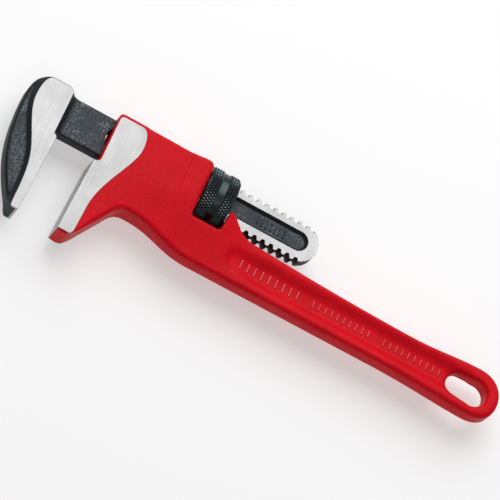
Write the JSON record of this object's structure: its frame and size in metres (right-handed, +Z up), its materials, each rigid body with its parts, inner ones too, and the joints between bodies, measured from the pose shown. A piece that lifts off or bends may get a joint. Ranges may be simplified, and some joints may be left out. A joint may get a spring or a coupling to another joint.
{
  "type": "pipe wrench",
  "caption": "Adjustable smooth-jaw pipe wrench with a red forged handle, integral heel jaw, sliding hook jaw on a toothed shank, knurled adjusting nut and hanging slot.",
  "frame": {"origin": "middle of the heel jaw's face, half way through the thickness", "axes": "+X along the handle from the jaws to the hanging slot, +Y across the handle towards the shank and nut, +Z up through the thickness, the wrench lying on its side"},
  "size_m": [0.3054, 0.0798, 0.0318],
  "materials": {
    "red_paint": "gloss paint over a slightly rough forging",
    "black_forging": "black oxide over a rough forging",
    "ground_steel": "bright ground steel with fine lines across the jaw",
    "black_nut": "black oxide, satin, knurled",
    "spring_steel": "tempered spring steel"
  },
  "bodies": {
    "handle_body": {"handle": "red_paint", "flat_spring": "spring_steel", "coil_spring": "spring_steel", "spring_rivet": "spring_steel"},
    "jaw": {"hook_jaw": "black_forging"},
    "nut": {"adjusting_nut": "black_nut"}
  },
  "joints": [
    {"name": "jaw_slide", "type": "slide", "parent": "handle_body", "child": "jaw", "axis": [-1, 0, 0], "range_m": [-0.0227, 0.044]},
    {"name": "nut_spin", "type": "hinge", "parent": "handle_body", "child": "nut", "pos_m": [0.0705, 0.04, 0], "axis": [1, 0, 0], "range_deg": [-3140, 1620]}
  ],
  "couplings": [
    {"joint": "nut_spin", "follows": "jaw_slide", "rad_per_m": -1236.8}
  ]
}
